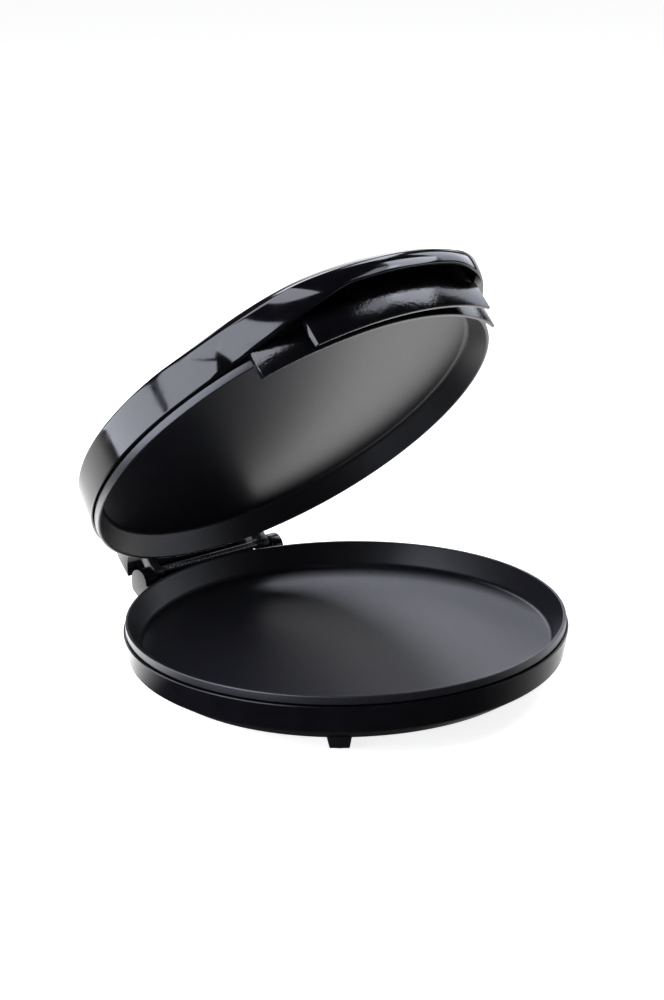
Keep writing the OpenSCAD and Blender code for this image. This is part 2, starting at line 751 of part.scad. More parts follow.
module upper_element() {
    color("#8c8c90") at_lid() translate([0, 0, upper_back]) mirror([0, 0, 1])
        element(shield_room + shield_t + 2);
}

module upper_clamps() {
    color("#b0b0b4") at_lid() translate([0, 0, upper_back]) mirror([0, 0, 1])
        element_clamps(shield_room);
}

module upper_shield() {
    color("#c4c6c8") at_lid() translate([0, 0, upper_shield_z]) difference() {
        cylinder(r = lid_wall_r(upper_shield_z + shield_t) - shell_t - 0.3, h = shield_t);
        shield_holes();
    }
}

module plate_screws() {
    color("#9a9a9e") at_lid() at_bosses(upper_shield_z + shield_t) mirror([0, 0, 1])
        screw(screw_d, head_d, head_h, upper_shield_z + shield_t - upper_screw_tip);
}

module lens(s) {
    place = [s * lens_pitch / 2, lens_y];
    top = top_height(place) + 0.8;
    at_lid() translate([place[0], place[1], holder_top]) {
        cylinder(d = lens_d + 3, h = 1);
        cylinder(d = lens_d, h = top - holder_top - 0.6);
        translate([0, 0, top - holder_top - 0.7]) cylinder(d1 = lens_d, d2 = lens_d - 1.6, h = 0.7);
    }
}

module power_lens() { color("#c02018") lens(-1); }
module ready_lens() { color("#28a040") lens(1); }

module lamp_holder() {
    base = upper_shield_z + shield_t;
    color("#d8d4c8") at_lid() difference() {
        translate([-lens_pitch / 2 - lamp_side, lens_y - lamp_half, base])
            cube([lens_pitch + 2 * lamp_side, 2 * lamp_half, holder_top - base]);
        for (s = [-1, 1]) translate([s * lens_pitch / 2, lens_y, base + 1])
            cylinder(d = lens_d - 2, h = holder_top);
    }
}

module lid_wiring() {
    tip_z = upper_shield_z + shield_t + 2 + tip_l + wire_d / 2;
    color("#a03028") at_lid() {
        for (s = [-1, 1]) wire([[s * 1.4, lid_r + 2, wire_z], [s * 1.4, lid_r - 12, wire_z],
            [s * end_x, end_y + 6, tip_z], [s * end_x, end_y - 2, tip_z],
            [s * end_x * 1.4, end_y - 14, wire_z + 1], [s * lens_pitch / 2, lens_y + 30, wire_z],
            [s * lens_pitch / 2, lens_y + lamp_half, wire_z]]);
    }
}

module hinge_arm(s) {
    color("#131315") at_lid() difference() {
        across(s * arm_mid - arm_t / 2, s * arm_mid + arm_t / 2) {
            translate([pin_y, pin_z]) circle(r = eye_r);
            polygon([[pin_y - arm_front, pin_z], [pin_y + arm_back, pin_z],
                [pin_y + arm_back, leg_top], [pin_y - arm_front, leg_top]]);
        }
        translate([s * arm_mid, pin_y, pin_z]) rotate([0, 90, 0])
            cylinder(r = turn_r, h = arm_t + 2, center = true);
        translate([s * arm_mid, pin_y - arm_front + 1, arm_screw_z]) rotate([-90, 0, 0])
            cylinder(r = hole_r, h = 20);
    }
}

module hinge_arm_left() { hinge_arm(-1); }
module hinge_arm_right() { hinge_arm(1); }

module arm_screws() {
    seat = pin_y + block_back - head_h - 0.4;
    color("#9a9a9e") at_lid() for (s = [-1, 1]) translate([s * arm_mid, seat, arm_screw_z])
        rotate([90, 0, 0]) screw(screw_d, head_d, head_h, seat - pin_y + arm_front - 1.5);
}

module skirt_screws() {
    color("#9a9a9e") at_lid() at_posts(post_foot) screw(3, 5.4, 1.8, roof_z - post_foot + 4);
}

lower_casing();
lower_plate();
lower_element();
lower_clamps();
lower_shield();
thermostat();
thermal_fuse();
terminal_block();
base_wiring();
cord_bushing();
foot_front_left();
foot_front_right();
foot_rear_left();
foot_rear_right();
foot_pads();
foot_screws();
hinge_bracket();
hinge_pin();
hinge_spring();
hinge_sleeve();
hinge_washers();
lid_shell();
outer_skirt();
inner_skirt();
upper_plate();
upper_element();
upper_clamps();
upper_shield();
plate_screws();
power_lens();
ready_lens();
lamp_holder();
lid_wiring();
hinge_arm_left();
hinge_arm_right();
arm_screws();
skirt_screws();
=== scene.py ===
import json
import math
import bmesh
import bpy
from mathutils import Matrix, Quaternion, Vector


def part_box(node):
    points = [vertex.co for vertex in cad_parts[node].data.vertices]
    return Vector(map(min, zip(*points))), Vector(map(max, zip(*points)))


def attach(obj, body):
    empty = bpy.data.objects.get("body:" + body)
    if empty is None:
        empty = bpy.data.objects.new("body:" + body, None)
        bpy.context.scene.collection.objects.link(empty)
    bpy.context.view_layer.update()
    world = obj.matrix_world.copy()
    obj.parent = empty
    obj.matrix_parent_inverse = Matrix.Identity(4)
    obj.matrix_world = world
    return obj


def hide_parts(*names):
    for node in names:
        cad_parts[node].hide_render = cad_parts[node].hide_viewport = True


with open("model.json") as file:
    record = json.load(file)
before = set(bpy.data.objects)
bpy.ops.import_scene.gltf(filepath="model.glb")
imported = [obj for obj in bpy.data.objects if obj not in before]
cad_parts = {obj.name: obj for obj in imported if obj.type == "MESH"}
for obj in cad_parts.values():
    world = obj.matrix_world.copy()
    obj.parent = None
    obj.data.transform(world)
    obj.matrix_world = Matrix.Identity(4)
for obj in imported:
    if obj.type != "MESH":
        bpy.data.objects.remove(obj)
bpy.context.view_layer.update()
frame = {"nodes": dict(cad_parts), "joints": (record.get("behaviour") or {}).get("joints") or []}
nodes = frame["nodes"]
mm = 0.001

# What every piece is fitted to: the lower plate's middle, the pin and how far the lid stands open
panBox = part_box("lower_plate")
hinge = frame["joints"][0]
panY = (panBox[0][1] + panBox[1][1]) / 2
plateR = round((panBox[1][0] - panBox[0][0]) / 2 / mm, 1)
rimZ = round(panBox[1][2] / mm, 1)
pinY = (hinge["pos_m"][1] - panY) / mm
pinZ = hinge["pos_m"][2] / mm
lidOpen = math.radians(-hinge["range_deg"][0])
print("frame: plate radius", plateR, "rim at", rimZ, "pin at", round(pinY, 2), round(pinZ, 2))


# Camera

view = {"place": (-0.9988, -1.25056, 0.6452), "target": (0.0116, 0.00434, 0.1267),
        "roll": -1.078, "lens": 82.99}

bpy.ops.object.select_all(action="DESELECT")
bpy.ops.object.camera_add(location=view["place"])
camera = bpy.context.object
camera.name = "camera"
camera.rotation_mode = "QUATERNION"
sight = Vector(view["target"]) - Vector(view["place"])
camera.rotation_quaternion = (sight.to_track_quat("-Z", "Y")
                              @ Quaternion((0, 0, 1), math.radians(view["roll"])))
camera.data.lens = view["lens"]
camera.data.sensor_width = 36
camera.data.clip_start = 0.05
camera.data.clip_end = 60
bpy.context.scene.camera = camera
bpy.context.scene.view_settings.view_transform = "Standard"
print("camera ready")


# Studio: the lights look at its middle; ways are level directions from there

studio = {"middle": (0.0, 0.0, 0.14), "tint": (0.94, 0.97, 1.1),
          "skySoft": 0.18, "skyDark": 0.015, "skyShine": 2.4, "skyWay": (0.6, 0.8, 0.0),
          "skyEdge": (0.955, 0.985), "skyHeight": (0.2, 0.6),
          "floorSize": 24, "floorGrey": 0.8, "floorGlow": 0.83, "floorDark": 0.03,
          "floorShine": 1.7, "floorWay": (0.8, 0.6, 0.0), "floorEdge": (-0.14, 0.14),
          "floorFar": (0.9, 1.7), "farShare": 0.5,
          "card": (-0.21, 0.24, 0.0), "cardEdge": (0.1, 0.22), "cardShine": 3.0}

softBoxes = [
    # name, azimuth, elevation, distance, spread sideways, spread upwards, radiance
    ("rightBox", 84, 50, 2.2, 34, 20, 5.2),
    ("rightTopBox", 56, 62, 2.2, 24, 11, 3.2),
    ("rightLowBox", 105, 23, 2.6, 36, 30, 2.2),
    ("frontBox", 60, 8, 2.4, 56, 14, 1.1),
    ("leftBox", -116, 4.5, 2.0, 68, 31, 5.3),
    ("leftLowBox", -74, 0, 2.0, 16, 20, 5.5),
    ("leftTopBox", -96, 47, 2.0, 38, 54, 5.3),
    ("backBox", 147, 33, 2.4, 26, 24, 3.4),
]


def softBox(name, azimuth, elevation, distance, wide, high, radiance):
    a, e = math.radians(azimuth), math.radians(elevation)
    way = Vector((math.sin(a) * math.cos(e), -math.cos(a) * math.cos(e), math.sin(e)))
    bpy.ops.object.light_add(type="AREA", location=Vector(studio["middle"]) + way * distance)
    lamp = bpy.context.object
    lamp.name = name
    lamp.rotation_mode = "QUATERNION"
    lamp.rotation_quaternion = (-way).to_track_quat("-Z", "Y")
    lamp.data.shape = "RECTANGLE"
    lamp.data.size = 2 * distance * math.tan(math.radians(wide / 2))
    lamp.data.size_y = 2 * distance * math.tan(math.radians(high / 2))
    lamp.data.color = studio["tint"]
    lamp.data.energy = radiance * math.pi * lamp.data.size * lamp.data.size_y
    lamp.visible_camera = False


def joinNodes(tree, source, target):
    tree.links.new(source, target)


def rampNode(tree, source, span, first, last):
    ramp = tree.nodes.new("ShaderNodeMapRange")
    ramp.interpolation_type = "SMOOTHSTEP"
    for name, value in (("From Min", span[0]), ("From Max", span[1]), ("To Min", first),
                        ("To Max", last)):
        ramp.inputs[name].default_value = value
    joinNodes(tree, source, ramp.inputs["Value"])
    return ramp.outputs["Result"]


def mathNode(tree, operation, first, second):
    # the second input is another node's output or a plain number
    made = tree.nodes.new("ShaderNodeMath")
    made.operation = operation
    joinNodes(tree, first, made.inputs[0])
    if isinstance(second, float):
        made.inputs[1].default_value = second
    else:
        joinNodes(tree, second, made.inputs[1])
    return made.outputs[0]


def placeNode(tree, operation, source, other=(0.0, 0.0, 0.0)):
    made = tree.nodes.new("ShaderNodeVectorMath")
    made.operation = operation
    made.inputs[1].default_value = other
    joinNodes(tree, source, made.inputs[0])
    return made.outputs["Value"]


def mixShaders(tree, share, first, second):
    made = tree.nodes.new("ShaderNodeMixShader")
    joinNodes(tree, share, made.inputs["Fac"])
    joinNodes(tree, first.outputs[0], made.inputs[1])
    joinNodes(tree, second.outputs[0], made.inputs[2])
    return made


def makeSky():
    world = bpy.data.worlds.new("studioSky")
    bpy.context.scene.world = world
    world.use_nodes = True
    tree = world.node_tree
    tree.nodes.clear()
    out = tree.nodes.new("ShaderNodeOutputWorld")
    rays = tree.nodes.new("ShaderNodeLightPath")
    # in reflections the sky is pale low down behind the object, and dark elsewhere
    way = tree.nodes.new("ShaderNodeTexCoord").outputs["Generated"]
    aim = placeNode(tree, "DOT_PRODUCT", way, Vector(studio["skyWay"]).normalized())
    behind = rampNode(tree, aim, studio["skyEdge"], 0.0, 1.0)
    split = tree.nodes.new("ShaderNodeSeparateXYZ")
    joinNodes(tree, way, split.inputs[0])
    below = rampNode(tree, split.outputs["Z"], studio["skyHeight"], 1.0, 0.0)
    pale = rampNode(tree, mathNode(tree, "MULTIPLY", behind, below), (0.0, 1.0),
                    studio["skyDark"], studio["skyShine"])
    soft, mirrored, white = (tree.nodes.new("ShaderNodeBackground") for i in range(3))
    soft.inputs["Strength"].default_value = studio["skySoft"]
    joinNodes(tree, pale, mirrored.inputs["Strength"])
    white.inputs["Strength"].default_value = 1.0
    shiny = mixShaders(tree, rays.outputs["Is Glossy Ray"], soft, mirrored)
    clear = mathNode(tree, "MAXIMUM", rays.outputs["Is Camera Ray"],
                     rays.outputs["Is Transmission Ray"])
    seen = mixShaders(tree, clear, shiny, white)
    joinNodes(tree, seen.outputs[0], out.inputs["Surface"])


def makeFloor():
    bpy.ops.mesh.primitive_plane_add(size=studio["floorSize"])
    floor = bpy.context.object
    floor.name = "studioFloor"
    mat = bpy.data.materials.new("paleFloor")
    mat.use_nodes = True
    tree = mat.node_tree
    tree.nodes.clear()
    out = tree.nodes.new("ShaderNodeOutputMaterial")
    rays = tree.nodes.new("ShaderNodeLightPath")
    matt = tree.nodes.new("ShaderNodeBsdfDiffuse")
    matt.inputs["Color"].default_value = (studio["floorGrey"],) * 3 + (1,)
    glow, shine = (tree.nodes.new("ShaderNodeEmission") for i in range(2))
    seen = mathNode(tree, "ADD", rays.outputs["Is Camera Ray"],
                    rays.outputs["Is Transmission Ray"])
    joinNodes(tree, mathNode(tree, "MULTIPLY", seen, studio["floorGlow"]),
              glow.inputs["Strength"])
    both = tree.nodes.new("ShaderNodeAddShader")
    joinNodes(tree, matt.outputs[0], both.inputs[0])
    joinNodes(tree, glow.outputs[0], both.inputs[1])
    # in reflections the floor is pale behind the object and falls off in front of it
    place = tree.nodes.new("ShaderNodeTexCoord").outputs["Object"]
    aim = placeNode(tree, "DOT_PRODUCT", place, Vector(studio["floorWay"]).normalized())
    behind = rampNode(tree, aim, studio["floorEdge"], studio["floorDark"], studio["floorShine"])
    away = rampNode(tree, placeNode(tree, "LENGTH", place), studio["floorFar"], 1.0,
                    studio["farShare"])
    # a white card lies on the floor beside the hinge
    card = rampNode(tree, placeNode(tree, "DISTANCE", place, studio["card"]),
                    studio["cardEdge"], studio["cardShine"], 0.0)
    joinNodes(tree, mathNode(tree, "ADD", mathNode(tree, "MULTIPLY", behind, away), card),
              shine.inputs["Strength"])
    pick = mixShaders(tree, rays.outputs["Is Glossy Ray"], both, shine)
    joinNodes(tree, pick.outputs[0], out.inputs["Surface"])
    floor.data.materials.append(mat)


for box in softBoxes:
    softBox(*box)
makeSky()
makeFloor()
print("studio ready")


# Finishes

noiseSpan = (0.3, 0.7)  # where nearly all of a noise's values lie


def newFinish(name, colour, rough, metal=0.0, shine=0.5, mottle=0.0, mottleSize=60,
              roughSwing=0.0, grain=0.0, grainSize=800, ripple=0.0, rippleSize=120, coat=0.0):
    mat = bpy.data.materials.new(name)
    mat.use_nodes = True
    tree = mat.node_tree
    shader = tree.nodes["Principled BSDF"]
    for socket, value in (("Base Color", colour + (1,)), ("Roughness", rough),
                          ("Metallic", metal), ("Specular IOR Level", shine),
                          ("Coat Weight", coat)):
        shader.inputs[socket].default_value = value
    place = tree.nodes.new("ShaderNodeTexCoord")

    def noise(size, detail):
        made = tree.nodes.new("ShaderNodeTexNoise")
        made.inputs["Scale"].default_value = size
        made.inputs["Detail"].default_value = detail
        joinNodes(tree, place.outputs["Object"], made.inputs["Vector"])
        return made.outputs["Fac"]

    def swing(source, low, high):
        made = tree.nodes.new("ShaderNodeMapRange")
        for socket, value in zip(("From Min", "From Max", "To Min", "To Max"),
                                 noiseSpan + (low, high)):
            made.inputs[socket].default_value = value
        joinNodes(tree, source, made.inputs["Value"])
        return made.outputs["Result"]

    if mottle:
        tint = tree.nodes.new("ShaderNodeMix")
        tint.data_type = "RGBA"
        tint.inputs["A"].default_value = tuple(c * (1 - mottle) for c in colour) + (1,)
        tint.inputs["B"].default_value = tuple(c * (1 + mottle) for c in colour) + (1,)
        joinNodes(tree, swing(noise(mottleSize, 4), 0, 1), tint.inputs["Factor"])
        joinNodes(tree, tint.outputs["Result"], shader.inputs["Base Color"])
    if roughSwing:
        joinNodes(tree, swing(noise(mottleSize * 1.7, 3), rough - roughSwing,
                              rough + roughSwing), shader.inputs["Roughness"])
    last = None
    for depth, size, detail in ((ripple, rippleSize, 1), (grain, grainSize, 2)):
        if depth:
            bump = tree.nodes.new("ShaderNodeBump")
            bump.inputs["Strength"].default_value = 1.0
            bump.inputs["Distance"].default_value = depth * mm
            joinNodes(tree, noise(size, detail), bump.inputs["Height"])
            if last:
                joinNodes(tree, last.outputs["Normal"], bump.inputs["Normal"])
            last = bump
    if last:
        joinNodes(tree, last.outputs["Normal"], shader.inputs["Normal"])
    return mat


finishes = {
    "pianoBlack": newFinish("pianoBlack", (0.0022, 0.0022, 0.003), 0.09, shine=0.5,
                            mottle=0.2, roughSwing=0.03, ripple=0.05, rippleSize=70),
    "skirtBlack": newFinish("skirtBlack", (0.0022, 0.0022, 0.003), 0.14, shine=0.5,
                            mottle=0.2, roughSwing=0.03, ripple=0.11, rippleSize=520,
                            grain=0.008, grainSize=1500),
    "casingBlack": newFinish("casingBlack", (0.0028, 0.0028, 0.004), 0.2, shine=0.3,
                             mottle=0.25, roughSwing=0.04, ripple=0.04, rippleSize=90,
                             grain=0.004, grainSize=2200),
    "nonStick": newFinish("nonStick", (0.0085, 0.0085, 0.0115), 0.36, shine=0.65,
                          mottle=0.35, mottleSize=900, roughSwing=0.05,
                          grain=0.07, grainSize=1000),
    "armBlack": newFinish("armBlack", (0.010, 0.010, 0.011), 0.3, shine=0.45,
                          mottle=0.2, roughSwing=0.05, grain=0.02, grainSize=1600),
    "footBlack": newFinish("footBlack", (0.008, 0.008, 0.009), 0.5, shine=0.35,
                           mottle=0.25, roughSwing=0.06, grain=0.03, grainSize=1300),
    "padRubber": newFinish("padRubber", (0.03, 0.03, 0.032), 0.8, shine=0.3,
                           mottle=0.25, grain=0.04, grainSize=900),
    "bushingRubber": newFinish("bushingRubber", (0.013, 0.013, 0.014), 0.65, shine=0.35,
                               mottle=0.25, grain=0.03, grainSize=1100),
    "blackSteel": newFinish("blackSteel", (0.15, 0.15, 0.165), 0.3, metal=0.8,
                            mottle=0.3, mottleSize=300, roughSwing=0.08, grain=0.01),
    "screwSteel": newFinish("screwSteel", (0.5, 0.5, 0.51), 0.32, metal=1.0,
                            mottle=0.15, mottleSize=400, roughSwing=0.08, grain=0.01),
    "sheath": newFinish("sheath", (0.3, 0.285, 0.27), 0.42, metal=1.0, mottle=0.3,
                        mottleSize=120, roughSwing=0.1, grain=0.02),
    "pressedSteel": newFinish("pressedSteel", (0.52, 0.52, 0.53), 0.36, metal=1.0,
                              mottle=0.12, mottleSize=200, roughSwing=0.08, grain=0.01),
    "rolledAluminium": newFinish("rolledAluminium", (0.68, 0.69, 0.7), 0.3, metal=1.0,
                                 mottle=0.08, mottleSize=80, roughSwing=0.06, grain=0.02),
    "creamMoulding": newFinish("creamMoulding", (0.7, 0.66, 0.57), 0.6, mottle=0.08,
                               mottleSize=150, roughSwing=0.06, grain=0.02),
    "leadRed": newFinish("leadRed", (0.33, 0.03, 0.02), 0.5, mottle=0.15,
                         mottleSize=200, roughSwing=0.06, grain=0.01),
    "redLens": newFinish("redLens", (0.45, 0.02, 0.015), 0.12, mottle=0.2,
                         mottleSize=350, roughSwing=0.03, coat=0.6),
    "greenLens": newFinish("greenLens", (0.03, 0.3, 0.06), 0.12, mottle=0.2,
                           mottleSize=350, roughSwing=0.03, coat=0.6),
}
print("finishes ready:", len(finishes))


# Modelling helpers

def clearPick():
    if bpy.context.mode != "OBJECT":
        bpy.ops.object.mode_set(mode="OBJECT")
    bpy.ops.object.select_all(action="DESELECT")


def pickOnly(obj):
    clearPick()
    obj.select_set(True)
    bpy.context.view_layer.objects.active = obj


def edit(obj):
    pickOnly(obj)
    bpy.ops.object.mode_set(mode="EDIT")


def done():
    bpy.ops.object.mode_set(mode="OBJECT")


def pickAll():
    bpy.ops.mesh.select_all(action="SELECT")


def recalc(join=0.002):
    pickAll()
    bpy.ops.mesh.remove_doubles(threshold=join * mm)
    bpy.ops.mesh.normals_make_consistent(inside=False)


def drawOutline(name, points, closed=False):
    # one vertex drawn along the points, given in millimetres
    clearPick()
    bpy.ops.mesh.primitive_plane_add(size=mm)
    obj = bpy.context.object
    obj.name = name
    bpy.ops.object.mode_set(mode="EDIT")
    bpy.ops.mesh.merge(type="CENTER")
    here = Vector((0, 0, 0))
    path = [Vector(p) * mm for p in points]
    if closed:
        path.append(path[0])
    for i, p in enumerate(path):
        if i == 0:
            bpy.ops.transform.translate(value=p - here)
        else:
            bpy.ops.mesh.extrude_vertices_move(TRANSFORM_OT_translate={"value": p - here})
        here = p
    if closed:
        pickAll()
        bpy.ops.mesh.remove_doubles(threshold=0.001 * mm)
    return obj


def spinSolid(name, outline, steps=180, closed=True):
    # a round piece about the upright axis, its outline as radius and height
    obj = drawOutline(name, [(r, 0, z) for r, z in outline], closed)
    pickAll()
    bpy.ops.mesh.spin(steps=steps, angle=math.tau, center=(0, 0, 0), axis=(0, 0, 1))
    recalc()
    done()
    return obj


def spinArc(name, outline, half, steps):
    # a curved bar whose middle faces the handle
    start = math.radians(-90 + half)  # the spin turns clockwise
    obj = drawOutline(name, [(r * math.cos(start), r * math.sin(start), z)
                             for r, z in outline], True)
    pickAll()
    bpy.ops.mesh.edge_face_add()
    bpy.ops.mesh.spin(steps=steps, angle=math.radians(2 * half), center=(0, 0, 0),
                      axis=(0, 0, 1))
    recalc()
    done()
    return obj


def turnedBar(name, outline, steps=48):
    # a round piece about the hinge pin, its outline as place along the pin and radius
    obj = drawOutline(name, [(x, pinY, pinZ + r) for x, r in outline], True)
    pickAll()
    bpy.ops.mesh.spin(steps=steps, angle=math.tau, center=(0, pinY * mm, pinZ * mm),
                      axis=(1, 0, 0))
    recalc()
    done()
    return obj


def slab(name, outline, x0, x1):
    # a flat side outline in Y and Z, drawn out along X
    obj = drawOutline(name, [(x0, y, z) for y, z in outline], True)
    pickAll()
    bpy.ops.mesh.edge_face_add()
    bpy.ops.mesh.extrude_region_move(TRANSFORM_OT_translate={"value": ((x1 - x0) * mm, 0, 0)})
    recalc()
    done()
    return obj


def post(name, x, y, low, high, radius, sides=32, aim=None):
    # a plain cutter or peg, upright or turned to lie along aim
    clearPick()
    bpy.ops.mesh.primitive_cylinder_add(vertices=sides, radius=radius * mm,
                                        depth=(high - low) * mm)
    obj = bpy.context.object
    obj.name = name
    obj.data.transform(Matrix.Translation((0, 0, (high + low) / 2 * mm)))
    if aim is not None:
        obj.data.transform(Vector(aim).to_track_quat("Z", "Y").to_matrix().to_4x4())
    obj.data.transform(Matrix.Translation((x * mm, y * mm, 0)))
    return obj


def block(name, low, high):
    clearPick()
    bpy.ops.mesh.primitive_cube_add(size=1)
    obj = bpy.context.object
    obj.name = name
    size = [(h - l) * mm for l, h in zip(low, high)]
    middle = [(h + l) / 2 * mm for l, h in zip(low, high)]
    obj.data.transform(Matrix.Translation(middle) @ Matrix.Diagonal(size + [1]))
    return obj


def runModifier(obj, kind, **values):
    pickOnly(obj)
    mod = obj.modifiers.new(kind.title(), kind)
    for key, value in values.items():
        setattr(mod, key, value)
    bpy.ops.object.modifier_apply(modifier=mod.name)


def cut(obj, *tools):
    for tool in tools:
        runModifier(obj, "BOOLEAN", operation="DIFFERENCE", solver="EXACT", object=tool)
        bpy.data.objects.remove(tool, do_unlink=True)


def softEdges(obj, width, segments=3, angle=30):
    runModifier(obj, "BEVEL", width=width * mm, segments=segments, limit_method="ANGLE",
                angle_limit=math.radians(angle), harden_normals=False)


def joinInto(obj, *others):
    clearPick()
    for other in others:
        other.select_set(True)
    obj.select_set(True)
    bpy.context.view_layer.objects.active = obj
    bpy.ops.object.join()
    return obj


def smooth(obj, angle=32):
    pickOnly(obj)
    bpy.ops.object.shade_smooth_by_angle(angle=math.radians(angle), keep_sharp_edges=True)


openLid = (Matrix.Translation((0, pinY * mm, pinZ * mm))
           @ Matrix.Rotation(-lidOpen, 4, "X")
           @ Matrix.Translation((0, -pinY * mm, -pinZ * mm)))


def settle(obj, body, finish, slotName, *stands, angle=32):
    # the pan's middle is drawn at the origin; lid pieces are drawn shut and turned open here
    pickOnly(obj)
    move = Matrix.Translation((0, panY, 0))
    if body == "lid":
        move = move @ openLid
    obj.matrix_world = move
    bpy.ops.object.transform_apply(location=True, rotation=True, scale=True)
    smooth(obj, angle)
    obj.data.materials.clear()
    obj.data.materials.append(finishes[finish])
    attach(obj, body)
    if stands:
        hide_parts(*stands)
    print("made", obj.name, len(obj.data.polygons), "faces")


def roundOff(centre, radius, fromAngle, toAngle, steps):
    made = []
    for i in range(steps + 1):
        a = math.radians(fromAngle + (toAngle - fromAngle) * i / steps)
        made.append((centre[0] + radius * math.cos(a), centre[1] + radius * math.sin(a)))
    return made


# Cooking plates

plate = {"rimBand": 6, "rimFlat": 2.4, "depth": 17.5, "lean": 7.6, "wall": 3, "fillet": 4,
         "edgeRound": 0.9, "shutGap": 0.4, "lowerRoom": 6.5, "upperRoom": 7.5, "shield": 1,
         "bossRadius": 6, "bossHole": 2.05}


def plateOutline(top):
    rimIn = plateR - plate["rimFlat"]
    floorR = rimIn - plate["lean"]
    lean = math.degrees(math.atan2(plate["depth"], plate["lean"]))
    run = plate["fillet"] * math.tan(math.radians(lean / 2))
    inside = [(0, 0), (60, 0), (120, 0)]
    inside += roundOff((floorR - run, plate["fillet"]), plate["fillet"], -90,
                       lean - 90, 8)
    inside += [(rimIn - 0.35, top - 0.8), (rimIn - 0.12, top - 0.36), (rimIn + 0.2, top - 0.08),
               (rimIn + 0.6, top)]
    edge = plate["edgeRound"]
    out = roundOff((plateR - edge, top - edge), edge - 0.02, 90, 0, 4)
    out += [(plateR - 0.02, top - plate["rimBand"] + 0.3), (plateR - 0.3, top - plate["rimBand"]),
            (rimIn - 0.6, top - plate["rimBand"]), (floorR + 1, 1 - plate["wall"]),
            (floorR, -plate["wall"]), (0, -plate["wall"])]
    return inside + out


# the feet and the bosses above them, front to back and left to right
footPlaces = [(-85, -96), (85, -96), (-85, 96), (85, 96)]


def buildPlate(name, floorZ, upsideDown, body, room, *stands):
    turn = -1 if upsideDown else 1
    top = plate["depth"] - (plate["shutGap"] if upsideDown else 0)
    obj = spinSolid(name, [(r, floorZ + turn * z) for r, z in plateOutline(top)], steps=200)
    back = floorZ - turn * plate["wall"]
    bosses = []
    for x, y in footPlaces:
        low, high = sorted((back, back - turn * room))
        boss = post("boss", x, y, low, high, plate["bossRadius"], 40)
        cut(boss, post("drill", x, y, low - 1, high + 1, plate["bossHole"], 32))
        bosses.append(boss)
    joinInto(obj, *bosses)
    settle(obj, body, "nonStick", "nonstick_coating", *stands, angle=28)


floorZ = rimZ - plate["depth"]
upperFloor = rimZ + plate["depth"]
shieldTop = upperFloor + plate["wall"] + plate["upperRoom"] + plate["shield"]
buildPlate("lowerPlate", floorZ, False, "base", plate["lowerRoom"], "lower_plate")
buildPlate("upperPlate", upperFloor, True, "lid", plate["upperRoom"], "upper_plate")


# Lower casing; its skin is how far it keeps inside its solid

casing = {"lipOut": 1.8, "lipZ": 43, "wall": 2.2, "draft": 2.8, "footZ": 12, "bevelHigh": 12,
          "bevelWide": 18, "skin": 0.04, "bossRadius": 6, "bossTop": 22, "bossHole": 2.2,
          "cordAngle": 40, "cordZ": 28.5, "cordRadius": 9.5, "cordHole": 6}

# the ears that carry the pin, the ledge between them and the lip behind the spring
ears = {"inside": 57, "outside": 67, "radius": 10, "drop": 4.5, "rootY": 130, "bore": 1.78,
        "blindEnd": 1.5, "armRoom": 47, "armRadius": 7.2, "lipHalf": 46.5}

lipR = plateR + casing["lipOut"] - casing["skin"]
lipZ = casing["lipZ"]
waistR = lipR - casing["draft"]
waistZ = casing["footZ"] + casing["bevelHigh"]
soleR = waistR - casing["bevelWide"]
cordTurn = math.radians(casing["cordAngle"])
cordWay = Vector((math.sin(cordTurn), math.cos(cordTurn), 0))


def casingOutline():
    bottom = casing["footZ"]
    wall = casing["wall"]
    outside = [(0, bottom), (60, bottom), (110, bottom), (soleR - 1.4, bottom),
               (soleR - 0.4, bottom + 0.08), (soleR + 0.5, bottom + 0.45),
               (soleR + 1.3, bottom + 0.95)]
    outside += [(waistR - 2.2, waistZ - 1.55), (waistR - 1.2, waistZ - 0.75),
                (waistR - 0.45, waistZ + 0.1), (waistR - 0.1, waistZ + 1.0),
                (waistR + 0.12, waistZ + 2.2)]
    outside += [(lipR - 0.12, lipZ - 1.6), (lipR - 0.02, lipZ - 0.85), (lipR - 0.12, lipZ - 0.4),
                (lipR - 0.38, lipZ - 0.1), (lipR - 0.75, lipZ)]
    inside = [(lipR - wall + 0.2, lipZ), (lipR - wall, lipZ - 0.25),
              (waistR - wall, waistZ + 1.5), (soleR + 1, bottom + wall), (0, bottom + wall)]
    return outside + inside


def moveToCord(obj, r):
    obj.data.transform(Matrix.Translation(cordWay * r * mm
                                          + Vector((0, 0, casing["cordZ"] * mm))))


def earOutline():
    earZ = pinZ - ears["drop"]
    r = ears["radius"]
    root = ears["rootY"]
    made = roundOff((pinY, earZ), r, 0, 180, 24)
    made += [(pinY - r, lipZ), (root + 10, lipZ), (root, lipZ - 2), (root, lipZ - 19),
             (pinY - 6, lipZ - 17), (pinY + r - 1.4, lipZ - 8.4), (pinY + r - 0.3, lipZ - 7),
             (pinY + r, lipZ - 5)]
    return made


def buildCasing():
    obj = spinSolid("lowerCasing", casingOutline(), steps=240)
    boss = post("cordBoss", 0, 0, -4.2, 1.2, casing["cordRadius"], 64, cordWay)
    softEdges(boss, 0.5, 3, 40)
    cut(boss, post("cordHole", 0, 0, -20, 20, casing["cordHole"], 48, cordWay))
    moveToCord(boss, lipR)
    extras = [boss]
    for x, y in footPlaces:
        pad = post("footBoss", x, y, casing["footZ"] + 0.5, casing["bossTop"],
                   casing["bossRadius"], 40)
        cut(pad, post("drill", x, y, 10, 25, casing["bossHole"], 32))
        extras.append(pad)
    joinInto(obj, *extras)
    settle(obj, "base", "casingBlack", "casing_plastic", "lower_casing", angle=30)


